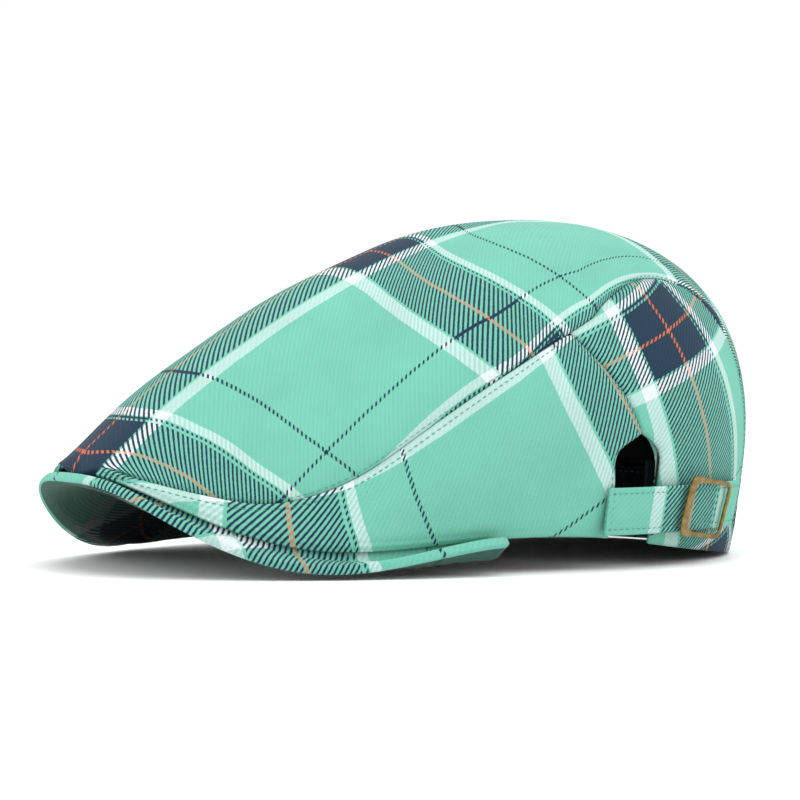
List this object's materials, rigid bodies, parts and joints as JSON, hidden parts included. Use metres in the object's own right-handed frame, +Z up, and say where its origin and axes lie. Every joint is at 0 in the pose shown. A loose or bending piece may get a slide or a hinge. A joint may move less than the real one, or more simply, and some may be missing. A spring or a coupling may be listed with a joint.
{
  "type": "flat cap with adjuster strap",
  "caption": "Soft plaid flat cap with a stiffened peak, a keyhole opening at the left rear and a strap with a metal slider buckle.",
  "frame": {"origin": "on the ground under the middle of the cap's bounding box", "axes": "+Z up, -Y towards the front of the peak, +X towards the wearer's left, where the strap is"},
  "size_m": [0.1853, 0.292, 0.128],
  "materials": {
    "plaid_twill": "brushed cotton twill, mint, navy and white plaid",
    "strap_twill": "brushed cotton twill, mint",
    "lining_cloth": "smooth dark cotton",
    "band_cloth": "ribbed dark cotton tape",
    "label_cloth": "blank woven tape",
    "peak_board": "moulded sheet, hidden",
    "antique_brass": "antiqued, satin"
  },
  "bodies": {
    "cap": {"top_panel": "plaid_twill", "side_panel_left": "plaid_twill", "side_panel_right": "plaid_twill", "back_panel_left": "plaid_twill", "back_panel_right": "plaid_twill", "lining_top": "lining_cloth", "lining_side_left": "lining_cloth", "lining_side_right": "lining_cloth", "lining_back_left": "lining_cloth", "lining_back_right": "lining_cloth", "sweatband": "band_cloth", "care_label": "label_cloth", "brim_top_cover": "plaid_twill", "brim_board": "peak_board", "brim_under_cover": "plaid_twill", "keyhole_facing": "plaid_twill", "adjuster_strap": "strap_twill"},
    "buckle": {"buckle_frame": "antique_brass"}
  },
  "joints": [
    {"name": "buckle_slide", "type": "hinge", "parent": "cap", "child": "buckle", "pos_m": [-0.03901, 0.03719, 0.02125], "axis": [0, 0, 1], "range_deg": [-6, 5]}
  ]
}
